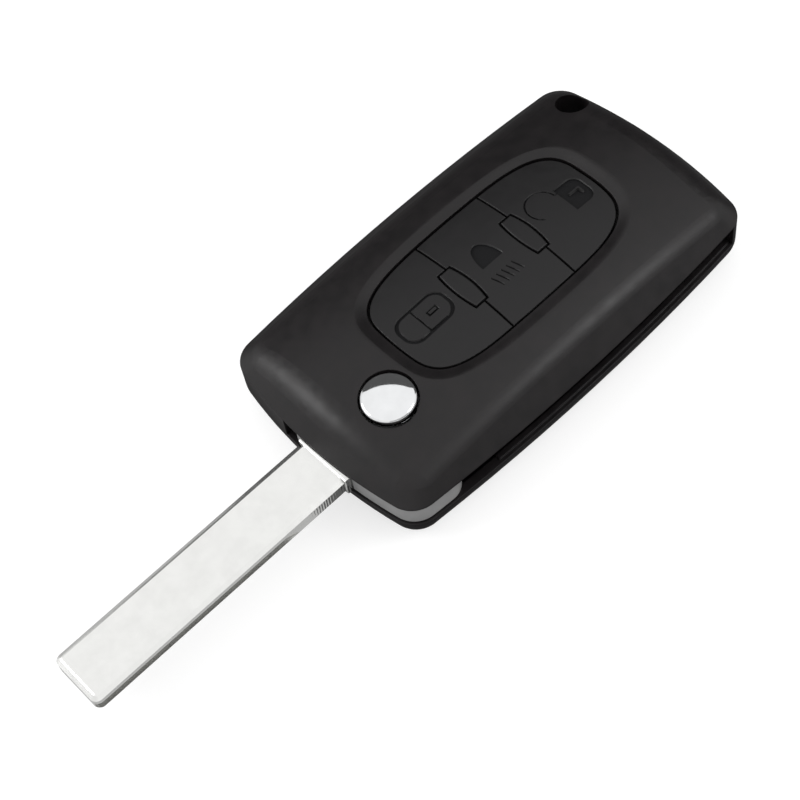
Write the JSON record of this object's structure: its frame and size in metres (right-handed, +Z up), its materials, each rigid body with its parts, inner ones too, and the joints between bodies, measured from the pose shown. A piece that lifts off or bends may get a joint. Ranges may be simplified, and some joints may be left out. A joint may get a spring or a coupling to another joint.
{
  "type": "car remote key",
  "caption": "Folding car remote key: a rounded black case with a rubber keypad, a round sprung release button and a flat blade that swings out of a slot in the side.",
  "frame": {"origin": "bottom centre of the bounding box with the blade out; the case stands on Z = 0", "axes": "-X along the open blade, -Y towards the blade slot, +Z up through the keypad"},
  "size_m": [0.114, 0.0396, 0.015],
  "materials": {
    "shell_black": "fine moulded texture",
    "keypad_rubber": "satin silicone",
    "holder_grey": "satin",
    "blade_steel": "bright nickelled",
    "button_chrome": "polished",
    "spring_steel": "drawn wire",
    "board_green": "solder mask",
    "cell_steel": "satin",
    "contact_metal": "plated strip",
    "chip_black": "moulded package",
    "switch_plastic": "moulded",
    "plunger_white": "moulded",
    "can_metal": "satin can",
    "capacitor_tan": "matt"
  },
  "bodies": {
    "case": {"upper_shell": "shell_black", "lower_shell": "shell_black", "keypad_frame": "keypad_rubber", "circuit_board": "board_green", "coin_cell": "cell_steel", "cell_clip": "contact_metal", "cell_contact": "contact_metal", "controller_chip": "chip_black", "transponder_coil": "chip_black", "resonator": "can_metal", "capacitors": "capacitor_tan", "lock_switch": "switch_plastic", "light_switch": "switch_plastic", "unlock_switch": "switch_plastic"},
    "blade_head": {"blade_holder": "holder_grey", "key_blade": "blade_steel", "blade_pin": "spring_steel"},
    "release": {"release_button": "button_chrome", "flip_spring": "spring_steel"},
    "lock_key": {"lock_button": "keypad_rubber", "lock_plunger": "plunger_white"},
    "light_key": {"light_button": "keypad_rubber", "light_plunger": "plunger_white"},
    "unlock_key": {"unlock_button": "keypad_rubber", "unlock_plunger": "plunger_white"}
  },
  "joints": [
    {"name": "blade_flip", "type": "hinge", "parent": "case", "child": "blade_head", "pos_m": [-0.0024, -0.0054, 0.00635], "axis": [0, 0, 1], "range_deg": [0, 174]},
    {"name": "release_press", "type": "slide", "parent": "blade_head", "child": "release", "axis": [0, 0, -1], "range_m": [0, 0.0016], "stiffness_N_per_m": 900, "deforming": ["flip_spring"]},
    {"name": "lock_press", "type": "slide", "parent": "case", "child": "lock_key", "axis": [0, 0, -1], "range_m": [0, 0.0004], "stiffness_N_per_m": 2500},
    {"name": "light_press", "type": "slide", "parent": "case", "child": "light_key", "axis": [0, 0, -1], "range_m": [0, 0.0004], "stiffness_N_per_m": 2500},
    {"name": "unlock_press", "type": "slide", "parent": "case", "child": "unlock_key", "axis": [0, 0, -1], "range_m": [0, 0.0004], "stiffness_N_per_m": 2500}
  ]
}
